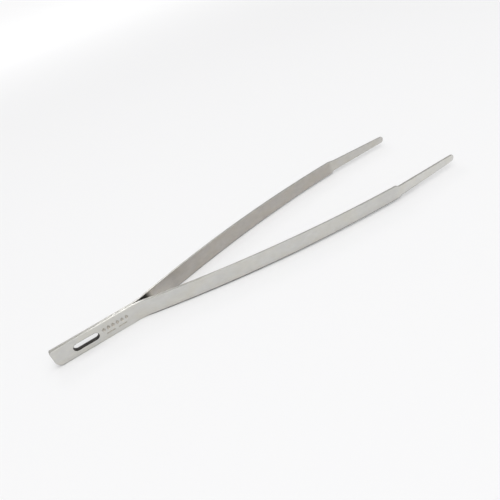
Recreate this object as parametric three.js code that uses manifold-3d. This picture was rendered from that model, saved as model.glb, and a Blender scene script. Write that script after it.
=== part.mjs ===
// Stamp tongs: two stamped spring-steel leaves, brazed face to face at the handle and bowed apart
// towards their narrow blade tips. Millimetres, +Z up. The tongs lie on their long edges: X runs from
// the handle to the tips, Y is the direction in which they open, and Z is the width of the leaves.
import * as THREE from "three";
import { mergeVertices } from "three/addons/utils/BufferGeometryUtils.js";
import Module from "manifold-3d";

const wasm = await Module();
wasm.setup();

// Widths of a leaf, measured along Z, and the round corners of the handle end
const HANDLE_WIDTH = 6.3;
const SHOULDER_WIDTH = 5.1;
const TOP_CORNER_RADIUS = 0.5;
const BOTTOM_CORNER_RADIUS = 2.3;

// Where a leaf narrows to its blade, one edge drops abruptly towards the middle and the other eases
// down: where the drop starts from the end of the bow, how long it is, and how far from the middle
// the edge runs at the blade's root and at its tip.
const ABRUPT_DROP = { start: 0.7, length: 1.6, root: 1.85, tip: 1.5 };
const EASED_DROP = { start: -0.3, length: 4, root: 2.2, tip: 1.1 };

// Thickness of a leaf, and of the braze between the two leaves
const LEAF_THICKNESS = 0.75;
const TIP_THICKNESS = 0.55;
const BRAZE_THICKNESS = 0.12;
const BRAZE_LENGTH = 16.5;

// Run of a leaf, measured along its own centreline from the handle end
const FLAT_LENGTH = 26.3;
const ROOT_BEND_RADIUS = 18;
const ROOT_BEND_ANGLE = THREE.MathUtils.degToRad(17.7);
const BOW_RADIUS = 370;
const BOW_LENGTH = 91.2;
const KNEE_RADIUS = 22;
const KNEE_ANGLE = THREE.MathUtils.degToRad(3.9);
const BLADE_LENGTH = 27.33;

// Hanging slot through the handle
const SLOT_START = 6.5;
const SLOT_END = 14.8;
const SLOT_HEIGHT = 2.4;
const PUNCH_OVERSHOOT = 1;

// Each arm is parted from its handle where the leaf flexes, at the end of the root bend
const FLEX_GAP = 0.3;

const ROOT_BEND_LENGTH = ROOT_BEND_RADIUS * ROOT_BEND_ANGLE;
const KNEE_LENGTH = KNEE_RADIUS * KNEE_ANGLE;
const FLEX_STATION = FLAT_LENGTH + ROOT_BEND_LENGTH;
const SHOULDER_STATION = FLEX_STATION + BOW_LENGTH;
const LEAF_LENGTH = SHOULDER_STATION + KNEE_LENGTH + BLADE_LENGTH;
const TIP_RADIUS = (ABRUPT_DROP.tip + EASED_DROP.tip) / 2;
const TIP_STATION = LEAF_LENGTH - TIP_RADIUS;
const MID_HEIGHT = HANDLE_WIDTH / 2;

// Straight and round stretches of the centreline: how long each is, and how far it turns outward.
const STRETCHES = [
  { length: FLAT_LENGTH, turn: 0 },
  { length: ROOT_BEND_LENGTH, turn: ROOT_BEND_ANGLE },
  { length: BOW_LENGTH, turn: -BOW_LENGTH / BOW_RADIUS },
  { length: KNEE_LENGTH, turn: -KNEE_ANGLE },
  { length: BLADE_LENGTH, turn: 0 },
];

// Point and heading of a leaf's centreline, a distance along it from the handle end.
function centreline(station) {
  let x = 0;
  let y = (BRAZE_THICKNESS + LEAF_THICKNESS) / 2;
  let heading = 0;
  let left = station;
  for (const stretch of STRETCHES) {
    const run = Math.min(left, stretch.length);
    const turned = (stretch.turn * run) / stretch.length;
    const halfTurn = turned / 2;
    const chord = halfTurn === 0 ? run : (run * Math.sin(halfTurn)) / halfTurn;
    x += chord * Math.cos(heading + halfTurn);
    y += chord * Math.sin(heading + halfTurn);
    heading += turned;
    left -= run;
  }
  return { x, y, heading };
}

// How far an edge of a leaf is from the middle: a round handle corner, a long taper, a drop to the
// blade, and half of the round tip.
function edgeReach(station, cornerRadius, drop) {
  const { lerp, smoothstep, clamp } = THREE.MathUtils;
  const pastTip = station - TIP_STATION;
  if (pastTip > 0) return drop.tip - TIP_RADIUS + Math.sqrt(TIP_RADIUS ** 2 - pastTip ** 2);
  const intoCorner = Math.max(0, cornerRadius - station);
  const cornerCut = cornerRadius - Math.sqrt(cornerRadius ** 2 - intoCorner ** 2);
  const taper = clamp((station - FLAT_LENGTH) / (SHOULDER_STATION - FLAT_LENGTH), 0, 1);
  const strip = lerp(HANDLE_WIDTH, SHOULDER_WIDTH, taper) / 2 - cornerCut;
  const alongBlade = clamp((station - SHOULDER_STATION) / (TIP_STATION - SHOULDER_STATION), 0, 1);
  const blade = lerp(drop.root, drop.tip, alongBlade);
  const dropStation = SHOULDER_STATION + drop.start;
  return lerp(strip, blade, smoothstep(station, dropStation, dropStation + drop.length));
}

// Lowest and highest Z across the near leaf (side -1) or the far one (side +1). Both are the same
// blank, and the far one is turned over, so its abrupt drop is on its lower edge.
function heights(station, side) {
  const lowDrop = side < 0 ? EASED_DROP : ABRUPT_DROP;
  const highDrop = side < 0 ? ABRUPT_DROP : EASED_DROP;
  return {
    low: MID_HEIGHT - edgeReach(station, BOTTOM_CORNER_RADIUS, lowDrop),
    high: MID_HEIGHT + edgeReach(station, TOP_CORNER_RADIUS, highDrop),
  };
}

// A leaf keeps its thickness along the strip and is ground thinner along its blade.
function thickness(station) {
  const alongBlade = Math.max(0, station - SHOULDER_STATION) / (LEAF_LENGTH - SHOULDER_STATION);
  return THREE.MathUtils.lerp(LEAF_THICKNESS, TIP_THICKNESS, alongBlade);
}

// Stations closer together round the corners, the bends and the tip than along the straight runs.
const ZONES = [
  { end: TOP_CORNER_RADIUS, step: 0.06 },
  { end: BOTTOM_CORNER_RADIUS, step: 0.2 },
  { end: FLAT_LENGTH, step: 5 },
  { end: FLEX_STATION, step: 0.6 },
  { end: SHOULDER_STATION + EASED_DROP.start, step: 2.6 },
  { end: SHOULDER_STATION + EASED_DROP.start + EASED_DROP.length, step: 0.25 },
  { end: TIP_STATION, step: 2.6 },
];
const TIP_STEPS = 10;
const SHORTEST_STEP = 0.01;

function stationsBetween(first, last) {
  const stations = [];
  let start = 0;
  for (const zone of ZONES) {
    const count = Math.ceil((zone.end - start) / zone.step);
    for (let i = 0; i < count; i += 1) stations.push(start + ((zone.end - start) * i) / count);
    start = zone.end;
  }
  for (let i = 0; i < TIP_STEPS; i += 1) {
    stations.push(start + TIP_RADIUS * Math.sin((Math.PI / 2) * (i / TIP_STEPS)));
  }
  const between = stations.filter((s) => s > first + SHORTEST_STEP && s < last - SHORTEST_STEP);
  return [first, ...between, last];
}

// Closed strip through four corners at each station: outer and inner face, lower and upper edge.
function stripGeometry(stations, cornersAt) {
  const positions = stations.flatMap((station) => cornersAt(station).flat());
  const index = [0, 2, 1, 0, 3, 2];
  for (let i = 0; i < stations.length - 1; i += 1) {
    for (let corner = 0; corner < 4; corner += 1) {
      const a = 4 * i + corner;
      const b = 4 * i + ((corner + 1) % 4);
      index.push(a, b, a + 4, b, b + 4, a + 4);
    }
  }
  const last = 4 * (stations.length - 1);
  index.push(last, last + 1, last + 2, last, last + 2, last + 3);
  const geometry = new THREE.BufferGeometry();
  geometry.setAttribute("position", new THREE.Float32BufferAttribute(positions, 3));
  geometry.setIndex(index);
  return geometry;
}

// A stretch of one leaf. side is -1 for the near leaf and +1 for the far one.
function leafGeometry(side, first, last) {
  const end = Math.min(last, LEAF_LENGTH - SHORTEST_STEP);
  return stripGeometry(stationsBetween(first, end), (station) => {
    const { x, y, heading } = centreline(station);
    const { low, high } = heights(station, side);
    const offset = thickness(station) / 2;
    const corner = (out, z) => [
      x - out * offset * Math.sin(heading),
      side * (y + out * offset * Math.cos(heading)),
      z,
    ];
    return [corner(side, low), corner(side, high), corner(-side, high), corner(-side, low)];
  });
}

// Braze that fills the seam between the two leaves, flush with their end and edges.
function brazeGeometry() {
  const offset = BRAZE_THICKNESS / 2;
  return stripGeometry(stationsBetween(0, BRAZE_LENGTH), (station) => {
    const { low, high } = heights(station, 1);
    return [
      [station, offset, low],
      [station, offset, high],
      [station, -offset, high],
      [station, -offset, low],
    ];
  });
}

// Prism with round ends that reaches through the whole handle.
function slotGeometry() {
  const radius = SLOT_HEIGHT / 2;
  const outline = new THREE.Shape();
  outline.absarc(SLOT_START + radius, MID_HEIGHT, radius, Math.PI / 2, (3 * Math.PI) / 2, false);
  outline.absarc(SLOT_END - radius, MID_HEIGHT, radius, -Math.PI / 2, Math.PI / 2, false);
  outline.closePath();
  const reach = 2 * LEAF_THICKNESS + PUNCH_OVERSHOOT;
  const prism = new THREE.ExtrudeGeometry(outline, {
    depth: 2 * reach,
    curveSegments: 12,
    bevelEnabled: false,
  });
  return prism.translate(0, 0, -reach).rotateX(Math.PI / 2);
}

// Corners closer than this are one vertex
const WELD_DISTANCE = 1e-4;

function toSolid(geometry) {
  geometry.deleteAttribute("normal");
  geometry.deleteAttribute("uv");
  const merged = mergeVertices(geometry, WELD_DISTANCE);
  return new wasm.Manifold(
    new wasm.Mesh({
      numProp: 3,
      vertProperties: merged.attributes.position.array,
      triVerts: new Uint32Array(merged.index.array),
    }),
  );
}

function withSlot(geometry) {
  const mesh = toSolid(geometry).subtract(toSolid(slotGeometry())).getMesh();
  const cut = new THREE.BufferGeometry();
  cut.setAttribute("position", new THREE.BufferAttribute(mesh.vertProperties, 3));
  cut.setIndex(new THREE.BufferAttribute(mesh.triVerts, 1));
  return cut;
}

const satinSteel = new THREE.MeshStandardMaterial({ color: 0xb4b3ab, roughness: 0.38, metalness: 1 });
const brazeMetal = new THREE.MeshStandardMaterial({ color: 0xa5a39b, roughness: 0.45, metalness: 1 });

const tongs = new THREE.Group();
const assembly = new THREE.Group();
assembly.position.x = -centreline(LEAF_LENGTH).x / 2;
tongs.add(assembly);

function addPiece(name, geometry, material) {
  geometry.computeVertexNormals();
  const mesh = new THREE.Mesh(geometry, material);
  mesh.name = name;
  assembly.add(mesh);
}

for (const [leaf, side] of [["near_leaf", -1], ["far_leaf", 1]]) {
  const handle = leafGeometry(side, 0, FLEX_STATION - FLEX_GAP / 2);
  const arm = leafGeometry(side, FLEX_STATION + FLEX_GAP / 2, LEAF_LENGTH);
  addPiece(leaf + "_handle", withSlot(handle), satinSteel);
  addPiece(leaf + "_arm", arm, satinSteel);
}
addPiece("handle_braze", withSlot(brazeGeometry()), brazeMetal);

export default tongs;
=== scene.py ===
"""Stamp tongs: two sprung steel leaves, brazed face to face at the handle, on a plain pale floor.

Each leaf is drawn as a flat blank (station along it, depth through it, height across it), punched and
marked while it is flat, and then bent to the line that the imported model's leaves follow.
"""

from collections import namedtuple
import math

import bmesh
import bpy
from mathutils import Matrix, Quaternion, Vector


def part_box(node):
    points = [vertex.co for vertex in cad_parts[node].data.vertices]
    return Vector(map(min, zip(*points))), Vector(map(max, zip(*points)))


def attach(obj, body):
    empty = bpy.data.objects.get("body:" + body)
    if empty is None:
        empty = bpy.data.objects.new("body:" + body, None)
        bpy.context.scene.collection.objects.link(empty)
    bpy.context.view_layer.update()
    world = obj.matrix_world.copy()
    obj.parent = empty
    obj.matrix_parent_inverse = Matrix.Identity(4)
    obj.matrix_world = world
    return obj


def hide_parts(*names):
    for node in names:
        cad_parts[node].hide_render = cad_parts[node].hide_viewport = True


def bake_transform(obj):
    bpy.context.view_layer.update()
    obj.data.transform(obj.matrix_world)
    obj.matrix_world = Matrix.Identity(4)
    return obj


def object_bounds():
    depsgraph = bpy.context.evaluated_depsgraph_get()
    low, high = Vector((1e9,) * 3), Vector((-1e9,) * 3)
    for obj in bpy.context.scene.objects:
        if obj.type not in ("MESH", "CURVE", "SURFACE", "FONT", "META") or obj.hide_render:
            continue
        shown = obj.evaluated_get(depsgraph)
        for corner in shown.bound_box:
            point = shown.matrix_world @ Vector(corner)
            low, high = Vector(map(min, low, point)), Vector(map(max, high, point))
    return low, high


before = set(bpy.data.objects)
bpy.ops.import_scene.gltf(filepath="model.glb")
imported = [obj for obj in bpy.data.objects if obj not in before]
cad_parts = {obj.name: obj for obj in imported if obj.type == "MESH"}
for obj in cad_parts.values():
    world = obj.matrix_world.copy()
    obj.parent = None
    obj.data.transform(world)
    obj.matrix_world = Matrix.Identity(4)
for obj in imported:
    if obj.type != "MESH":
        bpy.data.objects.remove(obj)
cad_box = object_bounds()

# Blanks are drawn in millimetres and become metres as they are bent
MM = 0.001

# Widths of a leaf across its height, and the round corners of the handle end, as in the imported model
HANDLE_WIDTH = 6.3
SHOULDER_WIDTH = 5.1
TOP_CORNER_RADIUS = 0.5
BOTTOM_CORNER_RADIUS = 2.3

# Where a leaf narrows to its blade, one edge drops abruptly towards the middle and the other eases
# down: where the drop starts from the end of the bow, how long it is, and how far from the middle the
# edge runs at the blade's root and at its tip
Drop = namedtuple("Drop", "start length root tip")
ABRUPT_DROP = Drop(0.7, 1.6, 1.85, 1.5)
EASED_DROP = Drop(-0.3, 4.0, 2.2, 1.1)

# Thickness of a leaf, and of the braze between the two leaves
LEAF_THICKNESS = 0.75
TIP_THICKNESS = 0.55
BRAZE_THICKNESS = 0.12
BRAZE_LENGTH = 16.5

# Run of a leaf along its own centreline, from the handle end
FLAT_LENGTH = 26.3
ROOT_BEND_RADIUS = 18
ROOT_BEND_ANGLE = math.radians(17.7)
BOW_RADIUS = 370
BOW_LENGTH = 91.2
KNEE_RADIUS = 22
KNEE_ANGLE = math.radians(3.9)
BLADE_LENGTH = 27.33

# Hanging slot, punched through both leaves
SLOT_START = 6.5
SLOT_END = 14.8
SLOT_HEIGHT = 2.4

# How far each edge is rounded over. The outer edge gets rounder from a little below the middle down.
OUTER_EDGE_RADIUS = 0.12
LOWER_EDGE_RADIUS = 0.35
LOWER_EDGE_START = 1.2
INNER_EDGE_RADIUS = 0.08
SLOT_RIM_RADIUS = 0.1

# How far the outer face bulges, and how far the braze lies below the edges
FACE_CROWN = 0.015
BRAZE_SINK = 0.015

# Plain mark pressed into the near leaf beside the slot: a row of lozenges over two short bars
MARK_START = 16.7
MARK_PITCH = 1.55
MARK_COUNT = 6
MARK_HALF_LENGTH = 0.62
MARK_HALF_HEIGHT = 0.85
MARK_RISE = 0.55
MARK_DEPTH = 0.008
BARS = ((17.0, 19.9), (21.1, 23.9))
BAR_DROP = 1.2
BAR_HALF_HEIGHT = 0.22

ROOT_BEND_LENGTH = ROOT_BEND_RADIUS * ROOT_BEND_ANGLE
KNEE_LENGTH = KNEE_RADIUS * KNEE_ANGLE
FLEX_STATION = FLAT_LENGTH + ROOT_BEND_LENGTH
SHOULDER_STATION = FLEX_STATION + BOW_LENGTH
LEAF_LENGTH = SHOULDER_STATION + KNEE_LENGTH + BLADE_LENGTH
TIP_RADIUS = (ABRUPT_DROP.tip + EASED_DROP.tip) / 2
TIP_STATION = LEAF_LENGTH - TIP_RADIUS

# Where the handle end and the middle of the leaves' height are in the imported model
handle_low, handle_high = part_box("near_leaf_handle")
HANDLE_END = handle_low.x / MM
MID_HEIGHT = (handle_low.z + handle_high.z) / 2 / MM

# Stations at either end of a leaf's flex from the handle to its arm; the script does not tie a leaf to
# either
FLEX_FIRST = 27
FLEX_LAST = 62

# Steps of the mesh: across a leaf, round its corners, tip and rims, and round each end of the slot.
# The last row of the tip follows the arc itself, from the tip turn on.
COLUMNS = 10
CORNER_STEPS = 14
TIP_STEPS = 9
TIP_TURN = math.radians(62)
RIM_STEPS = 4
SLOT_STEPS = 20

# How far punches stand out of the leaf, and how far the slot's rim turns
PUNCH_OVERSHOOT = 0.1
FLARE_TURN = math.radians(75)

# The thinnest face that a cut may leave, and the angle between two finishes that breaks the shading
SLIVER = 0.002
SHARP_ANGLE = math.radians(3)

# Straight and round stretches of the centreline: how long each is, and how far it turns outward
STRETCHES = (
    (FLAT_LENGTH, 0.0),
    (ROOT_BEND_LENGTH, ROOT_BEND_ANGLE),
    (BOW_LENGTH, -BOW_LENGTH / BOW_RADIUS),
    (KNEE_LENGTH, -KNEE_ANGLE),
    (BLADE_LENGTH, 0.0),
)

# Longest step between rows of the mesh along each zone of a leaf
ZONES = (
    (FLAT_LENGTH, 1.3),
    (FLEX_STATION, 0.4),
    (SHOULDER_STATION + EASED_DROP.start, 1.6),
    (SHOULDER_STATION + EASED_DROP.start + EASED_DROP.length, 0.1),
    (TIP_STATION, 1.2),
)

# The leaves: name, body of its arm, side (-1 near, 1 far), and whether it carries the mark
LEAVES = (
    ("near_leaf", "near_arm", -1, True),
    ("far_leaf", "far_arm", 1, False),
)

# The camera, in metres, and its lens and sensor in millimetres
CAMERA_AZIMUTH = math.radians(-20.98)
CAMERA_ELEVATION = math.radians(33.01)
CAMERA_ROLL = math.radians(-18.85)
CAMERA_DISTANCE = 168.1 * MM
CAMERA_TARGET = Vector((-5.17, -3.06, 3.15)) * MM
CAMERA_LENS = 36.0
CAMERA_SENSOR = 36.0
CAMERA_NEAR = 0.01
CAMERA_FAR = 60.0

# The floor, and how it is lifted between two distances from the middle
FLOOR_REACH = 15.0
FLOOR_ROUGHNESS = 0.9
LIFT_START = 0.3
LIFT_END = 1.5
LIFT_STRENGTH = 0.35

# The dome is as dim as its horizon up to the first height (a sine) and brightest from the second on
DOME_LOW = 0.55
DOME_HIGH = 0.95
HORIZON_STRENGTH = 0.45
OVERHEAD_STRENGTH = 1.0

# Square lights: where each is, what it points at, its size and its power
KEY_PLACE = Vector((-0.1, -0.5, 1.2))
KEY_TARGET = Vector((0, 0, 0))
KEY_SIZE = 1.6
KEY_WATTS = 9.5
BACK_PLACE = Vector((0.05, 0.98, 0.64))
BACK_TARGET = Vector((-0.04, 0, 0))
BACK_SIZE = 0.22
BACK_WATTS = 0.8


# ---------------------------------------------------------------- shape of a leaf


def lerp(a, b, share):
    return a + (b - a) * share


def clamp(value):
    return min(1.0, max(0.0, value))


def smoothstep(share):
    share = clamp(share)
    return share * share * (3 - 2 * share)


def centreline(station):
    """Point and heading of a leaf's centreline, a distance along it from the handle end."""
    x = 0.0
    y = (BRAZE_THICKNESS + LEAF_THICKNESS) / 2
    heading = 0.0
    left = station
    for length, turn in STRETCHES:
        run = min(left, length)
        half_turn = turn * run / length / 2
        chord = run if half_turn == 0 else run * math.sin(half_turn) / half_turn
        x += chord * math.cos(heading + half_turn)
        y += chord * math.sin(heading + half_turn)
        heading += 2 * half_turn
        left -= run
    return x, y, heading


def edge_reach(station, corner_radius, drop):
    """How far an edge of a leaf is from the middle, from its handle corner to its round tip."""
    into_corner = max(0.0, corner_radius - station)
    corner_cut = corner_radius - math.sqrt(corner_radius**2 - into_corner**2)
    taper = clamp((station - FLAT_LENGTH) / (SHOULDER_STATION - FLAT_LENGTH))
    strip = lerp(HANDLE_WIDTH, SHOULDER_WIDTH, taper) / 2 - corner_cut
    along_blade = clamp((station - SHOULDER_STATION) / (TIP_STATION - SHOULDER_STATION))
    blade = lerp(drop.root, drop.tip, along_blade)
    return lerp(strip, blade, smoothstep((station - SHOULDER_STATION - drop.start) / drop.length))


def half_thickness(station):
    """Half the thickness of a leaf, which is ground thinner along its blade."""
    along_blade = clamp((station - SHOULDER_STATION) / (LEAF_LENGTH - SHOULDER_STATION))
    return lerp(LEAF_THICKNESS, TIP_THICKNESS, along_blade) / 2


def straight_row(station, low, high):
    return [(station, lerp(low, high, j / COLUMNS)) for j in range(COLUMNS + 1)]


def row_at(station, low_drop, high_drop):
    low = edge_reach(station, BOTTOM_CORNER_RADIUS, low_drop)
    high = edge_reach(station, TOP_CORNER_RADIUS, high_drop)
    return straight_row(station, -low, high)


def strip_rows(last, low_drop, high_drop):
    """Rows across a leaf up to a station, closer together where its outline turns."""
    turns = [math.pi / 2 * step / CORNER_STEPS for step in range(CORNER_STEPS)]
    stations = [BOTTOM_CORNER_RADIUS * (1 - math.cos(turn)) for turn in turns]
    start = BOTTOM_CORNER_RADIUS
    for end, step in ZONES:
        end = min(end, last)
        if end <= start:
            continue
        count = math.ceil((end - start) / step)
        stations += [lerp(start, end, i / count) for i in range(count)]
        start = end
    return [row_at(station, low_drop, high_drop) for station in stations]


def tip_rows(rise):
    """Rows across the round tip, whose middle is raised. The last row follows the arc itself."""
    rows = []
    for step in range(TIP_STEPS):
        turn = TIP_TURN * step / TIP_STEPS
        half = TIP_RADIUS * math.cos(turn)
        rows.append(straight_row(TIP_STATION + TIP_RADIUS * math.sin(turn), rise - half, rise + half))
    reach = math.pi / 2 - TIP_TURN
    turns = [lerp(-reach, reach, j / COLUMNS) for j in range(COLUMNS + 1)]
    arc = [(TIP_RADIUS * math.cos(turn), TIP_RADIUS * math.sin(turn)) for turn in turns]
    rows.append([(TIP_STATION + along, rise + across) for along, across in arc])
    return rows


def leaf_rows(low_drop, high_drop):
    rise = (high_drop.tip - low_drop.tip) / 2
    return strip_rows(TIP_STATION, low_drop, high_drop) + tip_rows(rise)


def braze_rows():
    end = row_at(BRAZE_LENGTH, EASED_DROP, ABRUPT_DROP)
    return strip_rows(BRAZE_LENGTH, EASED_DROP, ABRUPT_DROP) + [end]


def quarter_round(radius):
    """Quarter round from a face to its edge, as (distance from the edge, distance from the face)."""
    turns = [math.pi / 2 * step / RIM_STEPS for step in range(RIM_STEPS + 1)]
    return [(radius * (1 - math.sin(turn)), radius * (1 - math.cos(turn))) for turn in turns]


def leaf_rim(station, height):
    """Profile round a leaf's rim as (inset, depth) pairs, from its outer face to its inner one."""
    half = half_thickness(station)
    below = smoothstep(-height - LOWER_EDGE_START)
    outer_radius = lerp(OUTER_EDGE_RADIUS, LOWER_EDGE_RADIUS, below)
    outer = [(inset, half - sunk) for inset, sunk in quarter_round(outer_radius)]
    inner = [(inset, sunk - half) for inset, sunk in quarter_round(INNER_EDGE_RADIUS)]
    return outer + inner[::-1]


def braze_rim(_station, _height):
    """Profile round the braze: it flares into the grooves along the leaves' rounded inner edges."""
    half = BRAZE_THICKNESS / 2
    flare = [(inset + BRAZE_SINK, half + rise) for inset, rise in quarter_round(INNER_EDGE_RADIUS)]
    return flare + [(inset, -depth) for inset, depth in flare[::-1]]


# ---------------------------------------------------------------- flat blanks


def rim_path(row_count):
    """Places (row, column) round the edge of a grid, in order."""
    last = row_count - 1
    across = [(0, j) for j in range(COLUMNS + 1)]
    along = [(i, COLUMNS) for i in range(1, last)]
    back_across = [(last, j) for j in range(COLUMNS, -1, -1)]
    back_along = [(i, 0) for i in range(last - 1, 0, -1)]
    return across + along + back_across + back_along


def outward(before, after):
    """Unit normal that points out of a clockwise outline."""
    ds = after[0] - before[0]
    dz = after[1] - before[1]
    length = math.hypot(ds, dz)
    return -dz / length, ds / length


def rim_rings(mesh, rows, rim_at):
    """Rings of vertices round the rim, one for each pair of the profile, keyed by (row, column)."""
    path = rim_path(len(rows))
    outline = [rows[i][j] for i, j in path]
    rings = [{} for _ in rim_at(0.0, 0.0)]
    for index, place in enumerate(path):
        station, height = outline[index]
        normal = outward(outline[index - 1], outline[(index + 1) % len(path)])
        for ring, (inset, depth) in zip(rings, rim_at(station, height)):
            point = (station - normal[0] * inset, depth, height - normal[1] * inset)
            ring[place] = mesh.verts.new(point)
    return path, rings


def face_grid(mesh, rows, ring, side, crown):
    """Vertices of a wide face. Its edge is a ring of the rim, and it is crowned by a hair."""
    grid = dict(ring)
    for i in range(1, len(rows) - 1):
        low = ring[(i, 0)].co
        high = ring[(i, COLUMNS)].co
        for j in range(1, COLUMNS):
            share = j / COLUMNS
            point = low.lerp(high, share)
            point.y += side * crown * 4 * share * (1 - share)
            grid[(i, j)] = mesh.verts.new(point)
    return grid


def add_face(mesh, corners, finish):
    face = mesh.faces.new(corners)
    face.material_index = FINISHES.index(finish)
    return face


def plate(rows, rim_at, crown, rim_finish, outer_finish, inner_finish):
    """Closed flat plate in blank space: x along it, y through it, z across it."""
    mesh = bmesh.new()
    path, rings = rim_rings(mesh, rows, rim_at)
    for near, far in zip(rings, rings[1:]):
        for here, there in zip(path, path[1:] + path[:1]):
            add_face(mesh, (near[here], near[there], far[there], far[here]), rim_finish)
    outer = face_grid(mesh, rows, rings[0], 1, crown)
    inner = face_grid(mesh, rows, rings[-1], -1, 0.0)
    for i in range(len(rows) - 1):
        for j in range(COLUMNS):
            corners = ((i, j), (i, j + 1), (i + 1, j + 1), (i + 1, j))
            add_face(mesh, [outer[c] for c in reversed(corners)], outer_finish)
            add_face(mesh, [inner[c] for c in corners], inner_finish)
    bmesh.ops.recalc_face_normals(mesh, faces=mesh.faces)
    return mesh


def add_walls(mesh, low, high, finish):
    """Faces between two loops that have as many vertices."""
    for k in range(len(low)):
        following = (k + 1) % len(low)
        add_face(mesh, (low[k], low[following], high[following], high[k]), finish)


def slot_turns():
    """Places round the slot, as (station of the round end's centre, turn about it) pairs."""
    radius = SLOT_HEIGHT / 2
    ends = ((SLOT_START + radius, math.pi / 2), (SLOT_END - radius, -math.pi / 2))
    return [
        (centre, first_turn + math.pi * step / SLOT_STEPS)
        for centre, first_turn in ends
        for step in range(SLOT_STEPS + 1)
    ]


def punch_levels(flare):
    """Loops of the slot punch as (depth, spread) pairs, from the inner side of the leaf outward."""
    face = LEAF_THICKNESS / 2
    end = face + PUNCH_OVERSHOOT
    levels = [(-end, 0.0)]
    if not flare:
        return levels + [(end, 0.0)]
    for step in range(RIM_STEPS + 1):
        turn = FLARE_TURN * step / RIM_STEPS
        levels.append((face - flare * (1 - math.sin(turn)), flare * (1 - math.cos(turn))))
    depth, spread = levels[-1]
    levels.append((end, spread + math.tan(FLARE_TURN) * (end - depth)))
    return levels


def slot_punch(mesh, flare):
    """Punch for the hanging slot. With a flare it also rounds the rim on the leaf's outer face."""
    loops = []
    for depth, spread in punch_levels(flare):
        reach = SLOT_HEIGHT / 2 + spread
        loop = []
        for centre, turn in slot_turns():
            point = (centre + reach * math.cos(turn), depth, reach * math.sin(turn))
            loop.append(mesh.verts.new(point))
        loops.append(loop)
    for low, high in zip(loops, loops[1:]):
        add_walls(mesh, low, high, "shaded_slot_wall")
    add_face(mesh, loops[0], "shaded_slot_wall")
    add_face(mesh, loops[-1], "shaded_slot_wall")


def prism(mesh, outline, low, high, finish):
    """Closed prism through the leaf's depth, over an outline of (station, height) points."""
    bottom = [mesh.verts.new((s, low, z)) for s, z in outline]
    top = [mesh.verts.new((s, high, z)) for s, z in outline]
    add_walls(mesh, bottom, top, finish)
    add_face(mesh, bottom, finish)
    add_face(mesh, top, finish)


def mark_punches(mesh):
    """Punches for the plain mark: lozenges in a row and two short bars under them."""
    face = LEAF_THICKNESS / 2
    low = face - MARK_DEPTH
    high = face + FACE_CROWN + PUNCH_OVERSHOOT
    for k in range(MARK_COUNT):
        middle = MARK_START + MARK_PITCH * k
        lozenge = [
            (middle - MARK_HALF_LENGTH, MARK_RISE),
            (middle, MARK_RISE - MARK_HALF_HEIGHT),
            (middle + MARK_HALF_LENGTH, MARK_RISE),
            (middle, MARK_RISE + MARK_HALF_HEIGHT),
        ]
        prism(mesh, lozenge, low, high, "pressed_mark")
    for first, last in BARS:
        bar = [
            (first, -BAR_DROP - BAR_HALF_HEIGHT),
            (last, -BAR_DROP - BAR_HALF_HEIGHT),
            (last, -BAR_DROP + BAR_HALF_HEIGHT),
            (first, -BAR_DROP + BAR_HALF_HEIGHT),
        ]
        prism(mesh, bar, low, high, "pressed_mark")


def mesh_object(name, mesh):
    data = bpy.data.meshes.new(name)
    bmesh.ops.recalc_face_normals(mesh, faces=mesh.faces)
    mesh.to_mesh(data)
    mesh.free()
    for finish in FINISHES:
        data.materials.append(materials[finish])
    made = bpy.data.objects.new(name, data)
    bpy.context.scene.collection.objects.link(made)
    return made


def without_slivers(data):
    """Takes out the faces with no area that a cut leaves where it meets the edge of another face."""
    mesh = bmesh.new()
    mesh.from_mesh(data)
    bmesh.ops.dissolve_degenerate(mesh, dist=SLIVER, edges=mesh.edges)
    mesh.to_mesh(data)
    mesh.free()


def punched(blank, punch):
    """The blank with the punch cut out of it."""
    cut = blank.modifiers.new("punch", "BOOLEAN")
    cut.operation = "DIFFERENCE"
    cut.solver = "EXACT"
    cut.object = punch
    evaluated = blank.evaluated_get(bpy.context.evaluated_depsgraph_get())
    data = bpy.data.meshes.new_from_object(evaluated)
    without_slivers(data)
    blank.modifiers.clear()
    blank.data = data
    bpy.data.objects.remove(punch)
    return blank


# ---------------------------------------------------------------- from blank to leaf


def keep_blank(data):
    """Remembers each vertex's place on the flat blank, which the finishes follow."""
    attribute = data.attributes.new("blank", "FLOAT_VECTOR", "POINT")
    for vertex, stored in zip(data.vertices, attribute.data):
        stored.vector = vertex.co


def bend(data, side):
    """Bends a blank to the line of a leaf. side is -1 for the near leaf and +1 for the far one."""
    for vertex in data.vertices:
        station, depth, height = vertex.co
        x, y, heading = centreline(station)
        vertex.co.x = (HANDLE_END + x - depth * math.sin(heading)) * MM
        vertex.co.y = side * (y + depth * math.cos(heading)) * MM
        vertex.co.z = (MID_HEIGHT + height) * MM
    if side < 0:
        data.flip_normals()


def shade(data):
    """Smooth shading that breaks only where one finish meets another at an angle."""
    mesh = bmesh.new()
    mesh.from_mesh(data)
    mesh.normal_update()
    for face in mesh.faces:
        face.smooth = True
    for edge in mesh.edges:
        if len(edge.link_faces) != 2:
            continue
        one, other = edge.link_faces
        same_finish = one.material_index == other.material_index
        if not same_finish and one.normal.angle(other.normal) > SHARP_ANGLE:
            edge.smooth = False
    mesh.to_mesh(data)
    mesh.free()


def make_leaf(name, side, marked):
    """Both leaves are the same blank. The far one is turned over: its lower edge drops abruptly."""
    drops = (EASED_DROP, ABRUPT_DROP) if side < 0 else (ABRUPT_DROP, EASED_DROP)
    edge_finish = "near_edge" if side < 0 else "far_edge"
    mesh = plate(leaf_rows(*drops), leaf_rim, FACE_CROWN, edge_finish, "satin_outer", "rolled_inner")
    leaf = mesh_object(name, mesh)
    punch = bmesh.new()
    slot_punch(punch, SLOT_RIM_RADIUS)
    if marked:
        mark_punches(punch)
    punched(leaf, mesh_object("punch", punch))
    keep_blank(leaf.data)
    bend(leaf.data, side)
    shade(leaf.data)
    return leaf


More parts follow.
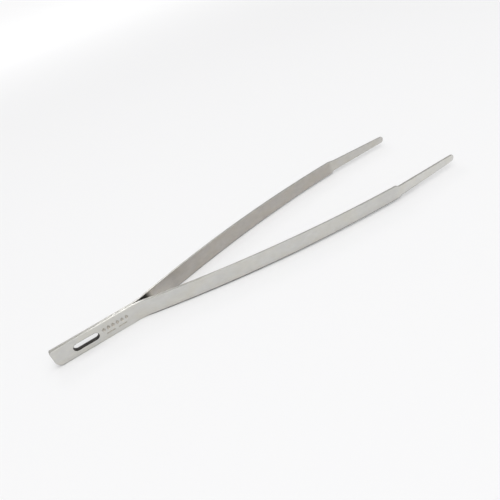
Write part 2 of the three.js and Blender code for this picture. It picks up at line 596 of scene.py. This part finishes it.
def make_braze():
    mesh = plate(braze_rows(), braze_rim, 0.0, "braze", "braze", "braze")
    braze = mesh_object("braze_seam", mesh)
    punch = bmesh.new()
    slot_punch(punch, 0.0)
    punched(braze, mesh_object("punch", punch))
    keep_blank(braze.data)
    for vertex in braze.data.vertices:
        vertex.co = (vertex.co + Vector((HANDLE_END, 0, MID_HEIGHT))) * MM
    shade(braze.data)
    return braze


def bend_across_joint(leaf):
    """Bakes the leaf's transform into its mesh; the flex stations' points are worked out but not used.
    """
    for station in (FLEX_FIRST, FLEX_LAST):
        x, y, _ = centreline(station)
    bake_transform(leaf)


# ---------------------------------------------------------------- finishes


class Finish:
    """A procedural metal: colour, roughness and relief all follow the place on the flat blank."""

    def __init__(self, name):
        self.material = bpy.data.materials.new(name)
        self.material.use_nodes = True
        self.nodes = self.material.node_tree.nodes
        self.links = self.material.node_tree.links
        self.shader = self.nodes["Principled BSDF"]
        self.place = self.nodes.new("ShaderNodeAttribute")
        self.place.attribute_name = "blank"

    def noise(self, stretch, scale, detail=4.0, roughness=0.6):
        """Noise over the blank, with its own scale along, through and across the leaf."""
        mapping = self.nodes.new("ShaderNodeMapping")
        mapping.inputs["Scale"].default_value = stretch
        self.links.new(self.place.outputs["Vector"], mapping.inputs["Vector"])
        noise = self.nodes.new("ShaderNodeTexNoise")
        noise.inputs["Scale"].default_value = scale
        noise.inputs["Detail"].default_value = detail
        noise.inputs["Roughness"].default_value = roughness
        self.links.new(mapping.outputs["Vector"], noise.inputs["Vector"])
        return noise.outputs["Fac"]

    def ranged(self, value, low, high, to_low, to_high):
        node = self.nodes.new("ShaderNodeMapRange")
        node.inputs["From Min"].default_value = low
        node.inputs["From Max"].default_value = high
        node.inputs["To Min"].default_value = to_low
        node.inputs["To Max"].default_value = to_high
        self.links.new(value, node.inputs["Value"])
        return node.outputs["Result"]

    def math(self, operation, one, other):
        node = self.nodes.new("ShaderNodeMath")
        node.operation = operation
        for socket, value in zip(node.inputs, (one, other)):
            if isinstance(value, float):
                socket.default_value = value
            else:
                self.links.new(value, socket)
        return node.outputs[0]

    def mixed(self, share, one, other):
        node = self.nodes.new("ShaderNodeMix")
        node.data_type = "RGBA"
        self.links.new(share, node.inputs["Factor"])
        for socket, value in ((node.inputs["A"], one), (node.inputs["B"], other)):
            if isinstance(value, tuple):
                socket.default_value = value
            else:
                self.links.new(value, socket)
        return node.outputs["Result"]

    def axis(self, name):
        parts = self.nodes.new("ShaderNodeSeparateXYZ")
        self.links.new(self.place.outputs["Vector"], parts.inputs["Vector"])
        return parts.outputs[name]

    def tinted(self, shade, tint):
        node = self.nodes.new("ShaderNodeMix")
        node.data_type = "RGBA"
        node.blend_type = "MULTIPLY"
        node.inputs["Factor"].default_value = 1.0
        self.links.new(shade, node.inputs["A"])
        node.inputs["B"].default_value = tint
        return node.outputs["Result"]

    def relief(self, height, distance, strength):
        node = self.nodes.new("ShaderNodeBump")
        node.inputs["Strength"].default_value = strength
        node.inputs["Distance"].default_value = distance
        self.links.new(height, node.inputs["Height"])
        self.links.new(node.outputs["Normal"], self.shader.inputs["Normal"])


def colour(red, green, blue):
    return (red, green, blue, 1.0)


# How the brushing is stretched along, through and across the leaf: along it, or across it
ALONG = (0.12, 1.0, 3.0)
ACROSS = (3.0, 1.0, 0.3)

# Every steel mixes its two colours by fine brushing and a broad mottle, and is warmer in patches
BRUSHING_SCALE = 6.0
BRUSHING_SHARE = 0.45
BRUSHING_RANGE = (0.3, 0.7)
RELIEF_STRENGTH = 0.5
MOTTLE_STRETCH = (0.35, 1.0, 0.6)
MOTTLE_SCALE = 1.0
MOTTLE_SHARE = 0.55
TONE_RANGE = (0.35, 0.65)
WARM_TINT = colour(1.0, 0.97, 0.89)
WARM_STRETCH = (0.2, 1.0, 0.35)
WARM_SCALE = 0.9
WARM_RANGE = (0.4, 0.7)
WARM_MOST = 0.5

# A finish's two colours, its roughness where it is smoothest and roughest, how its brushing is
# stretched and how deep it is in millimetres, and its changes in turn. A change is to two other
# colours, along an axis of the blank between two places on it.
Look = namedtuple("Look", "light dark smoothest roughest grain relief changes", defaults=((),))
Change = namedtuple("Change", "axis start end light dark")


def steel_tone(finish, look, brushing):
    """Colour of a brushed steel, which follows its brushing, its mottle and its changes."""
    mottle = finish.noise(MOTTLE_STRETCH, MOTTLE_SCALE, detail=3.0)
    fine = finish.math("MULTIPLY", brushing, BRUSHING_SHARE)
    broad = finish.math("MULTIPLY", mottle, MOTTLE_SHARE)
    share = finish.ranged(finish.math("ADD", fine, broad), *TONE_RANGE, 0.0, 1.0)
    metal = finish.mixed(share, look.dark, look.light)
    for change in look.changes:
        along = finish.ranged(finish.axis(change.axis), change.start, change.end, 0.0, 1.0)
        metal = finish.mixed(along, metal, finish.mixed(share, change.dark, change.light))
    patches = finish.noise(WARM_STRETCH, WARM_SCALE, detail=2.0)
    warmth = finish.ranged(patches, *WARM_RANGE, 0.0, WARM_MOST)
    return finish.mixed(warmth, metal, finish.tinted(metal, WARM_TINT))


def steel(name, look):
    """Brushed metal."""
    finish = Finish(name)
    brushing = finish.noise(look.grain, BRUSHING_SCALE, detail=6.0, roughness=0.7)
    roughness = finish.ranged(brushing, *BRUSHING_RANGE, look.roughest, look.smoothest)
    tone = steel_tone(finish, look, brushing)
    finish.links.new(tone, finish.shader.inputs["Base Color"])
    finish.links.new(roughness, finish.shader.inputs["Roughness"])
    finish.relief(brushing, look.relief * MM, RELIEF_STRENGTH)
    finish.shader.inputs["Metallic"].default_value = 1.0
    return finish.material


BLADE_LIGHT = colour(0.62, 0.605, 0.575)
BLADE_DARK = colour(0.55, 0.54, 0.515)
OUTER_BLADE_LIGHT = colour(0.7, 0.695, 0.67)
OUTER_BLADE_DARK = colour(0.64, 0.635, 0.61)
EDGE_LIGHT = colour(0.6, 0.595, 0.57)
EDGE_DARK = colour(0.5, 0.495, 0.47)
# Painted light: inner faces paler near the handle, in place of light between the leaves
PAINTED_BRIGHT_LIGHT = colour(0.82, 0.79, 0.75)
PAINTED_BRIGHT_DARK = colour(0.75, 0.725, 0.69)
# Painted shade: near black in the crevice where the leaves part
CREVICE_SHADE_LIGHT = colour(0.12, 0.115, 0.11)
CREVICE_SHADE_DARK = colour(0.06, 0.058, 0.055)
# Painted highlight: the near leaf's edge lighter along the handle
HANDLE_HIGHLIGHT_LIGHT = colour(0.74, 0.735, 0.705)
HANDLE_HIGHLIGHT_DARK = colour(0.65, 0.645, 0.62)
# Painted shade: the near leaf's edge darker where it bends away from the handle
BEND_EDGE_SHADE_LIGHT = colour(0.4, 0.395, 0.375)
BEND_EDGE_SHADE_DARK = colour(0.32, 0.315, 0.295)
# Painted shadow: the lower edges darker where they rest on the floor
LOWER_EDGE_SHADE_LIGHT = colour(0.2, 0.195, 0.185)
LOWER_EDGE_SHADE_DARK = colour(0.12, 0.117, 0.11)

# The ground blade begins softly past the shoulder
INNER_BLADE_END = SHOULDER_STATION + 1.6
OUTER_BLADE_END = SHOULDER_STATION + 4.0
BLADE = Change("X", SHOULDER_STATION, INNER_BLADE_END, BLADE_LIGHT, BLADE_DARK)
OUTER_BLADE = Change("X", SHOULDER_STATION, OUTER_BLADE_END, OUTER_BLADE_LIGHT, OUTER_BLADE_DARK)

# Inner faces painted paler near the handle (painted light), with painted shade where the leaves part
INNER_BRIGHTENING = Change("X", 44.0, 36.0, PAINTED_BRIGHT_LIGHT, PAINTED_BRIGHT_DARK)
CREVICE_SHADE = Change("X", 35.0, 33.0, CREVICE_SHADE_LIGHT, CREVICE_SHADE_DARK)
INNER_BRIGHTENING_BEHIND_SHADE = Change("X", 31.0, 30.0, PAINTED_BRIGHT_LIGHT, PAINTED_BRIGHT_DARK)

# The lower edges are painted darker: painted shadow where they rest on the floor. The near leaf's edge
# has painted shade where it leaves the handle, a painted highlight along the handle, and is plain at
# its end.
LOWER_EDGE_SHADE = Change("Z", -1.0, -1.9, LOWER_EDGE_SHADE_LIGHT, LOWER_EDGE_SHADE_DARK)
BEND_EDGE_SHADE = Change("X", 60.0, 44.0, BEND_EDGE_SHADE_LIGHT, BEND_EDGE_SHADE_DARK)
HANDLE_HIGHLIGHT = Change("X", 32.0, 29.0, HANDLE_HIGHLIGHT_LIGHT, HANDLE_HIGHLIGHT_DARK)
PLAIN_END = Change("X", 16.0, 8.0, EDGE_LIGHT, EDGE_DARK)

EDGE_LOOK = Look(
    light=EDGE_LIGHT,
    dark=EDGE_DARK,
    smoothest=0.3,
    roughest=0.45,
    grain=ALONG,
    relief=0.003,
)

LOOKS = {
    "satin_outer": Look(
        light=colour(0.64, 0.635, 0.61),
        dark=colour(0.58, 0.575, 0.555),
        smoothest=0.3,
        roughest=0.42,
        grain=ALONG,
        relief=0.004,
        changes=(OUTER_BLADE,),
    ),
    "rolled_inner": Look(
        light=colour(0.52, 0.495, 0.465),
        dark=colour(0.46, 0.44, 0.415),
        smoothest=0.4,
        roughest=0.52,
        grain=ALONG,
        relief=0.004,
        changes=(INNER_BRIGHTENING, CREVICE_SHADE, INNER_BRIGHTENING_BEHIND_SHADE, BLADE),
    ),
    "near_edge": EDGE_LOOK._replace(changes=(BEND_EDGE_SHADE, LOWER_EDGE_SHADE, HANDLE_HIGHLIGHT, PLAIN_END)),
    "far_edge": EDGE_LOOK._replace(changes=(LOWER_EDGE_SHADE,)),
    # Slot walls are painted near black: painted shade inside the narrow slot
    "shaded_slot_wall": Look(
        light=colour(0.09, 0.085, 0.08),
        dark=colour(0.04, 0.037, 0.035),
        smoothest=0.4,
        roughest=0.6,
        grain=ACROSS,
        relief=0.008,
    ),
    "pressed_mark": Look(
        light=colour(0.57, 0.545, 0.49),
        dark=colour(0.5, 0.475, 0.43),
        smoothest=0.4,
        roughest=0.55,
        grain=ALONG,
        relief=0.004,
    ),
    "braze": Look(
        light=colour(0.52, 0.5, 0.45),
        dark=colour(0.44, 0.42, 0.37),
        smoothest=0.3,
        roughest=0.45,
        grain=ALONG,
        relief=0.004,
    ),
}

FINISHES = tuple(LOOKS)
materials = {name: steel(name, look) for name, look in LOOKS.items()}

FLOOR_COLOUR = colour(0.88, 0.88, 0.885)
WHITE = colour(1.0, 1.0, 1.0)


# ---------------------------------------------------------------- stage, lights and camera


def keep_white(material):
    """Lifts the floor with distance, where the key light no longer reaches it."""
    nodes = material.node_tree.nodes
    links = material.node_tree.links
    place = nodes.new("ShaderNodeNewGeometry")
    distance = nodes.new("ShaderNodeVectorMath")
    distance.operation = "LENGTH"
    lift = nodes.new("ShaderNodeMapRange")
    lift.interpolation_type = "SMOOTHSTEP"
    lift.inputs["From Min"].default_value = LIFT_START
    lift.inputs["From Max"].default_value = LIFT_END
    lift.inputs["To Min"].default_value = 0.0
    lift.inputs["To Max"].default_value = LIFT_STRENGTH
    shader = nodes["Principled BSDF"]
    shader.inputs["Emission Color"].default_value = WHITE
    links.new(place.outputs["Position"], distance.inputs[0])
    links.new(distance.outputs["Value"], lift.inputs["Value"])
    links.new(lift.outputs["Result"], shader.inputs["Emission Strength"])


def make_floor():
    """Plain pale floor under the tongs."""
    mesh = bmesh.new()
    reach = FLOOR_REACH
    corners = [(-reach, -reach), (reach, -reach), (reach, reach), (-reach, reach)]
    mesh.faces.new([mesh.verts.new((x, y, cad_box[0].z)) for x, y in corners])
    data = bpy.data.meshes.new("floor")
    mesh.to_mesh(data)
    mesh.free()
    material = bpy.data.materials.new("pale_floor")
    material.use_nodes = True
    shader = material.node_tree.nodes["Principled BSDF"]
    shader.inputs["Base Color"].default_value = FLOOR_COLOUR
    shader.inputs["Roughness"].default_value = FLOOR_ROUGHNESS
    shader.inputs["Specular IOR Level"].default_value = 0.0
    keep_white(material)
    data.materials.append(material)
    floor = bpy.data.objects.new("floor", data)
    bpy.context.scene.collection.objects.link(floor)


def make_world():
    """White studio dome, dim near the horizon and bright overhead."""
    world = bpy.data.worlds.new("studio")
    world.use_nodes = True
    nodes = world.node_tree.nodes
    links = world.node_tree.links
    background = nodes["Background"]
    background.inputs["Color"].default_value = WHITE
    direction = nodes.new("ShaderNodeTexCoord")
    parts = nodes.new("ShaderNodeSeparateXYZ")
    strength = nodes.new("ShaderNodeMapRange")
    strength.interpolation_type = "SMOOTHSTEP"
    strength.inputs["From Min"].default_value = DOME_LOW
    strength.inputs["From Max"].default_value = DOME_HIGH
    strength.inputs["To Min"].default_value = HORIZON_STRENGTH
    strength.inputs["To Max"].default_value = OVERHEAD_STRENGTH
    links.new(direction.outputs["Generated"], parts.inputs["Vector"])
    links.new(parts.outputs["Z"], strength.inputs["Value"])
    links.new(strength.outputs["Result"], background.inputs["Strength"])
    bpy.context.scene.world = world


def make_light(name, place, target, size, watts):
    data = bpy.data.lights.new(name, "AREA")
    data.shape = "SQUARE"
    data.size = size
    data.energy = watts
    light = bpy.data.objects.new(name, data)
    light.location = place
    light.rotation_mode = "QUATERNION"
    light.rotation_quaternion = (target - place).to_track_quat("-Z", "Y")
    bpy.context.scene.collection.objects.link(light)


def make_camera():
    back = Vector(
        (
            math.sin(CAMERA_AZIMUTH) * math.cos(CAMERA_ELEVATION),
            -math.cos(CAMERA_AZIMUTH) * math.cos(CAMERA_ELEVATION),
            math.sin(CAMERA_ELEVATION),
        )
    )
    data = bpy.data.cameras.new("camera")
    data.lens = CAMERA_LENS
    data.sensor_width = CAMERA_SENSOR
    data.clip_start = CAMERA_NEAR
    data.clip_end = CAMERA_FAR
    camera = bpy.data.objects.new("camera", data)
    camera.location = CAMERA_TARGET + back * CAMERA_DISTANCE
    camera.rotation_mode = "QUATERNION"
    camera.rotation_quaternion = (-back).to_track_quat("-Z", "Y") @ Quaternion((0, 0, 1), CAMERA_ROLL)
    bpy.context.scene.collection.objects.link(camera)
    bpy.context.scene.camera = camera


# ---------------------------------------------------------------- assembly

make_camera()
make_floor()
make_world()
make_light("key_box", KEY_PLACE, KEY_TARGET, KEY_SIZE, KEY_WATTS)
make_light("back_box", BACK_PLACE, BACK_TARGET, BACK_SIZE, BACK_WATTS)
bpy.context.scene.view_settings.view_transform = "Standard"

for leaf_name, arm_name, side, marked in LEAVES:
    leaf = make_leaf(leaf_name, side, marked)
    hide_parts(leaf_name + "_handle", leaf_name + "_arm")
    bend_across_joint(leaf)

braze = make_braze()
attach(braze, "handle")
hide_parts("handle_braze")
